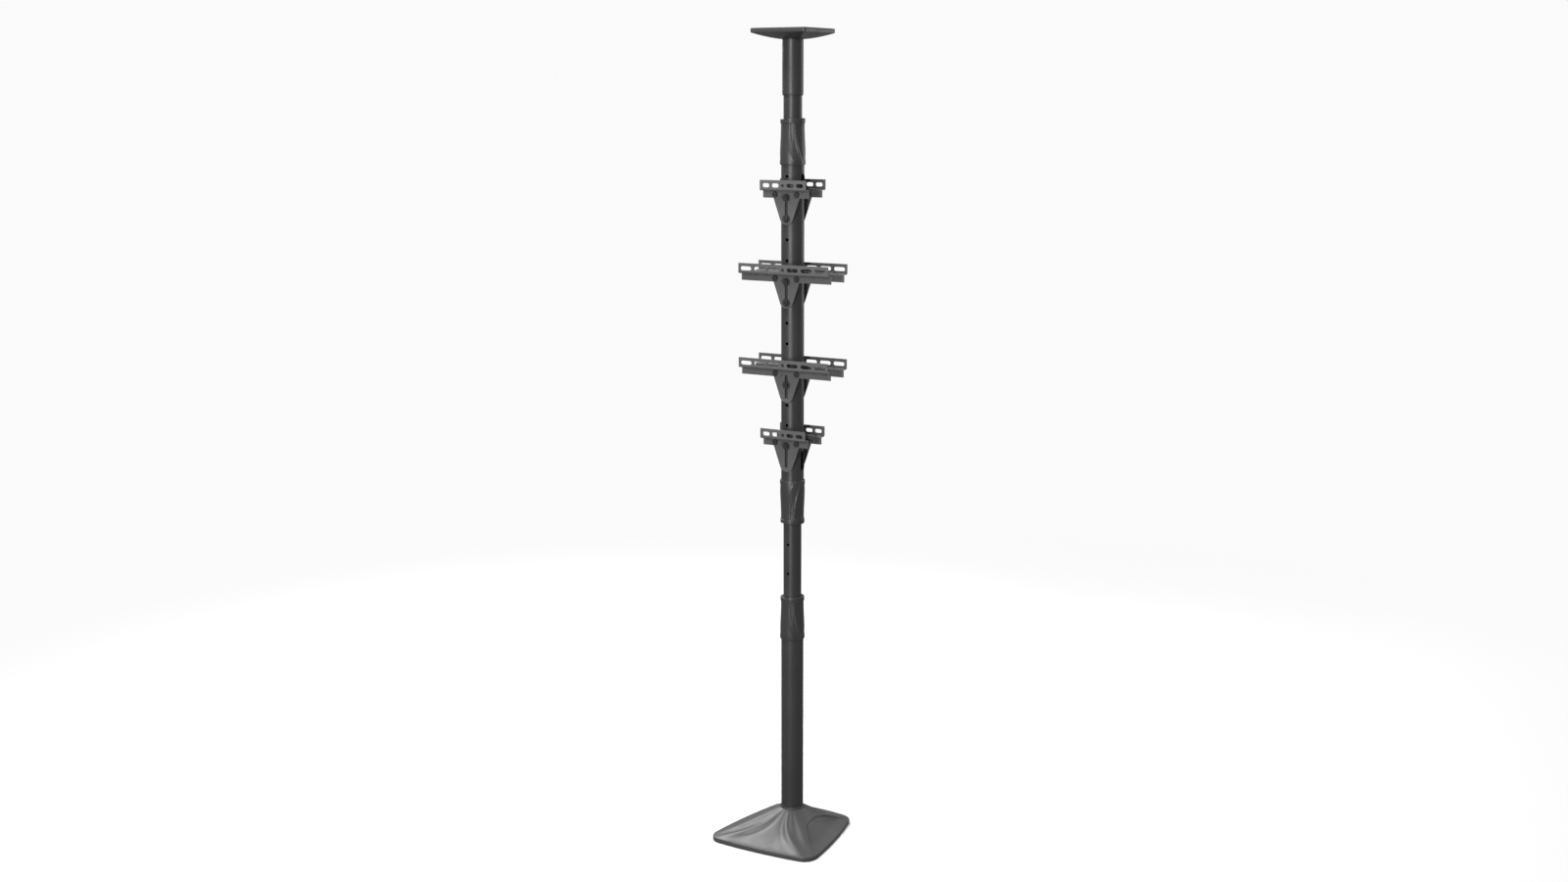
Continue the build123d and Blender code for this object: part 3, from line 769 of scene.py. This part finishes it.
# Brightness behind the post, and of the light round it near the horizon and overhead. The light
# grows between the two heights of a ray's direction.
BACKDROP = 0.96
AMBIENT_LOW = 0.31
AMBIENT_HIGH = 0.50
AMBIENT_FROM = -0.1
AMBIENT_TO = 0.9
WHITE = (1.0, 1.0, 1.0, 1.0)

# The floor's glow grows from FLOOR_GLOW to the backdrop's white between these distances from the post.
FLOOR_RADIUS = 300.0
FLOOR_SIDES = 96
FLOOR_NEAR = 0.8
FLOOR_FAR = 4.0
FLOOR_TONES = (0.74, 0.76)
FLOOR_GLOW = 0.16
FLOOR_ROUGH = 0.95

# Name, place, point that it faces, width and height, and power in watts.
LIGHTS = [
    ("front_strip", (0.35, -3.4, 1.75), (0, 0, 1.3), (0.45, 3.3), 108.0),
    ("back_left", (-2.4, 1.6, 2.9), (0, 0, 0.1), (2.0, 1.4), 85.0),
    ("rear_fill", (1.6, 3.2, 1.9), (0, 0, 1.1), (1.4, 2.4), 22.0),
    ("overhead", (-0.7, -0.9, 4.2), (0, 0, 0.0), (1.0, 1.0), 98.0),
]


def make_camera():
    data = bpy.data.cameras.new("camera")
    data.lens = CAMERA_LENS
    data.sensor_width = CAMERA_SENSOR
    data.clip_end = CAMERA_REACH
    camera = bpy.data.objects.new("camera", data)
    bpy.context.scene.collection.objects.link(camera)
    back = Vector(
        (
            math.sin(CAMERA_AZIMUTH) * math.cos(CAMERA_PITCH),
            -math.cos(CAMERA_AZIMUTH) * math.cos(CAMERA_PITCH),
            math.sin(CAMERA_PITCH),
        )
    )
    right = Vector((math.cos(CAMERA_AZIMUTH), math.sin(CAMERA_AZIMUTH), 0))
    aim = CAMERA_AIM - right * CAMERA_ASIDE
    camera.location = aim + back * CAMERA_DISTANCE
    camera.rotation_mode = "QUATERNION"
    camera.rotation_quaternion = (-back).to_track_quat("-Z", "Y")
    bpy.context.scene.camera = camera


def area_light(name, place, aim, size, power):
    data = bpy.data.lights.new(name, "AREA")
    data.shape = "RECTANGLE"
    data.size, data.size_y = size
    data.energy = power
    light = bpy.data.objects.new(name, data)
    bpy.context.scene.collection.objects.link(light)
    light.location = place
    light.rotation_mode = "QUATERNION"
    light.rotation_quaternion = (Vector(aim) - Vector(place)).to_track_quat("-Z", "Y")


def floor_paint():
    """Pale paint near the post that fades into a glow as white as the backdrop."""
    material, tree, shader, coords = node_material("floor_paint")
    patches = add_noise(tree, coords, 0.6, 3.0)
    reach = tree.nodes.new("ShaderNodeVectorMath")
    reach.operation = "LENGTH"
    tree.links.new(coords, reach.inputs[0])
    spread = tree.nodes.new("ShaderNodeMapRange")
    spread.interpolation_type = "SMOOTHSTEP"
    spread.inputs["From Min"].default_value = FLOOR_NEAR
    spread.inputs["From Max"].default_value = FLOOR_FAR
    tree.links.new(reach.outputs["Value"], spread.inputs["Value"])
    far = spread.outputs["Result"]
    paint = blend_colours(tree, far, grey_ramp(tree, patches, *FLOOR_TONES), (0.0, 0.0, 0.0))
    tree.links.new(paint, shader.inputs["Base Color"])
    glow = blend_colours(tree, far, (FLOOR_GLOW,) * 3, (BACKDROP,) * 3)
    tree.links.new(glow, shader.inputs["Emission Color"])
    shader.inputs["Emission Strength"].default_value = 1.0
    shader.inputs["Specular IOR Level"].default_value = 0.0
    shader.inputs["Roughness"].default_value = FLOOR_ROUGH
    return material


def make_floor():
    """A wide round floor that doesn't light the post itself."""
    build = bmesh.new()
    bmesh.ops.create_circle(build, cap_ends=True, segments=FLOOR_SIDES, radius=FLOOR_RADIUS)
    mesh = bpy.data.meshes.new("floor")
    build.to_mesh(mesh)
    build.free()
    floor = bpy.data.objects.new("floor", mesh)
    bpy.context.scene.collection.objects.link(floor)
    mesh.materials.append(floor_paint())
    floor.visible_diffuse = False
    floor.visible_glossy = False


def make_world():
    """White behind the object, and a softer light on it that grows from the horizon to overhead."""
    world = bpy.data.worlds.new("studio")
    world.use_nodes = True
    tree = world.node_tree
    seen = tree.nodes["Background"]
    seen.inputs["Color"].default_value = WHITE
    seen.inputs["Strength"].default_value = BACKDROP
    around = tree.nodes.new("ShaderNodeBackground")
    around.inputs["Color"].default_value = WHITE
    sky = tree.nodes.new("ShaderNodeTexCoord")
    split = tree.nodes.new("ShaderNodeSeparateXYZ")
    tree.links.new(sky.outputs["Generated"], split.inputs["Vector"])
    grow = tree.nodes.new("ShaderNodeMapRange")
    grow.inputs["From Min"].default_value = AMBIENT_FROM
    grow.inputs["From Max"].default_value = AMBIENT_TO
    grow.inputs["To Min"].default_value = AMBIENT_LOW
    grow.inputs["To Max"].default_value = AMBIENT_HIGH
    tree.links.new(split.outputs["Z"], grow.inputs["Value"])
    tree.links.new(grow.outputs["Result"], around.inputs["Strength"])
    path = tree.nodes.new("ShaderNodeLightPath")
    choose = tree.nodes.new("ShaderNodeMixShader")
    tree.links.new(path.outputs["Is Camera Ray"], choose.inputs[0])
    tree.links.new(around.outputs[0], choose.inputs[1])
    tree.links.new(seen.outputs[0], choose.inputs[2])
    tree.links.new(choose.outputs[0], tree.nodes["World Output"].inputs["Surface"])
    bpy.context.scene.world = world


make_world()
make_floor()
for light_values in LIGHTS:
    area_light(*light_values)
make_camera()
bpy.context.scene.view_settings.view_transform = "Standard"
